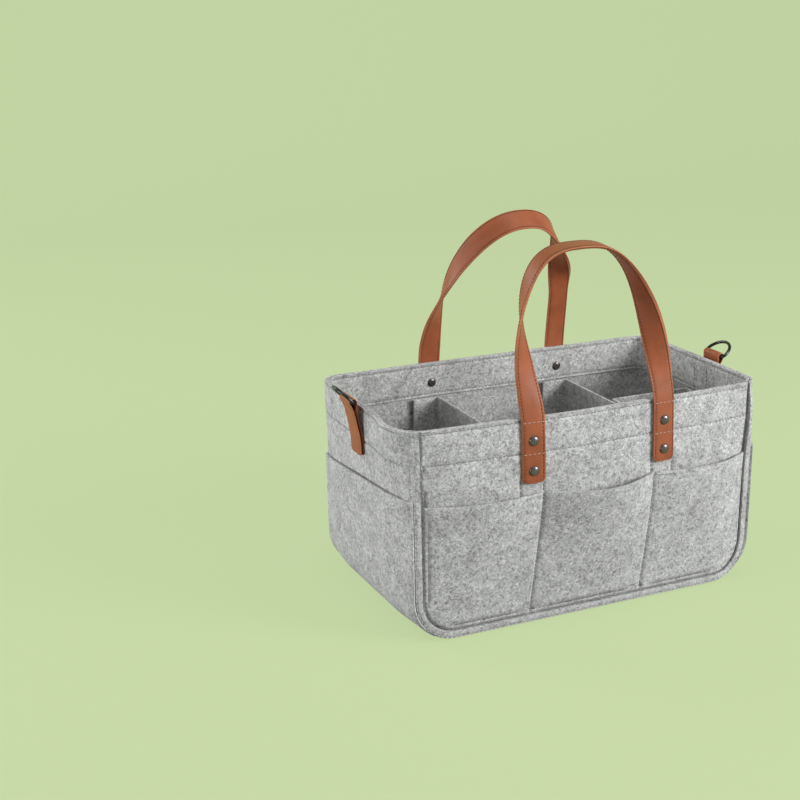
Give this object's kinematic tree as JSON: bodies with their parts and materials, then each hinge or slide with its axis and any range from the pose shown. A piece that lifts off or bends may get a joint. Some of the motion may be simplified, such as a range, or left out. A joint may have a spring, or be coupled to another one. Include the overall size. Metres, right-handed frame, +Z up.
{
  "type": "diaper caddy",
  "caption": "Open felt caddy with outside slip pockets, movable inner dividers, arched leather handles riveted to the long walls and a D-ring on a leather tab at each end.",
  "frame": {"origin": "on the floor under the middle of the felt box", "axes": "+X along the box, -Y out of the front, +Z up"},
  "size_m": [0.4047, 0.2516, 0.3377],
  "materials": {
    "felt": "mottled light grey felt, raw cut edges",
    "divider_felt": "mottled light grey felt, raw cut edges",
    "hook_tape": "grey hook tape",
    "leather": "smooth tan leather, stitched along both edges",
    "metal": "gunmetal, polished"
  },
  "bodies": {
    "box": {"gusset": "felt", "front_panel": "felt", "back_panel": "felt", "rim_facing": "felt", "front_pocket": "felt", "back_pocket": "felt", "left_pocket": "felt", "right_pocket": "felt", "front_handle_left_end": "leather", "front_left_lower_rivet": "metal", "front_left_upper_rivet": "metal", "front_handle_right_end": "leather", "front_right_lower_rivet": "metal", "front_right_upper_rivet": "metal", "back_handle_left_end": "leather", "back_left_lower_rivet": "metal", "back_left_upper_rivet": "metal", "back_handle_right_end": "leather", "back_right_lower_rivet": "metal", "back_right_upper_rivet": "metal", "left_tab": "leather", "right_tab": "leather"},
    "front_handle": {"front_handle": "leather"},
    "back_handle": {"back_handle": "leather"},
    "left_ring": {"left_d_ring": "metal"},
    "right_ring": {"right_d_ring": "metal"},
    "left_divider": {"left_divider": "divider_felt", "left_divider_front_tape": "hook_tape", "left_divider_back_tape": "hook_tape"},
    "right_divider": {"right_divider": "divider_felt", "right_divider_front_tape": "hook_tape", "right_divider_back_tape": "hook_tape"},
    "cross_divider": {"cross_divider": "divider_felt", "cross_divider_left_tape": "hook_tape", "cross_divider_right_tape": "hook_tape"}
  },
  "joints": [
    {"name": "front_handle_swing", "type": "hinge", "parent": "box", "child": "front_handle", "pos_m": [0.003, -0.106, 0.19], "axis": [1, 0, 0], "range_deg": [-16, 150]},
    {"name": "back_handle_swing", "type": "hinge", "parent": "box", "child": "back_handle", "pos_m": [0.0035, 0.101, 0.19], "axis": [-1, 0, 0], "range_deg": [-16, 150]},
    {"name": "left_ring_swing", "type": "hinge", "parent": "box", "child": "left_ring", "pos_m": [-0.188, -0.002, 0.196], "axis": [0, 1, 0], "range_deg": [-106, 120]},
    {"name": "right_ring_swing", "type": "hinge", "parent": "box", "child": "right_ring", "pos_m": [0.188, -0.008, 0.193], "axis": [0, -1, 0], "range_deg": [-97, 130]},
    {"name": "left_divider_shift", "type": "slide", "parent": "box", "child": "left_divider", "axis": [1, 0, 0], "range_m": [0, 0.04]},
    {"name": "right_divider_shift", "type": "slide", "parent": "box", "child": "right_divider", "axis": [-1, 0, 0], "range_m": [0, 0.04]},
    {"name": "cross_divider_shift", "type": "slide", "parent": "box", "child": "cross_divider", "axis": [0, 1, 0], "range_m": [-0.03, 0.03]}
  ]
}
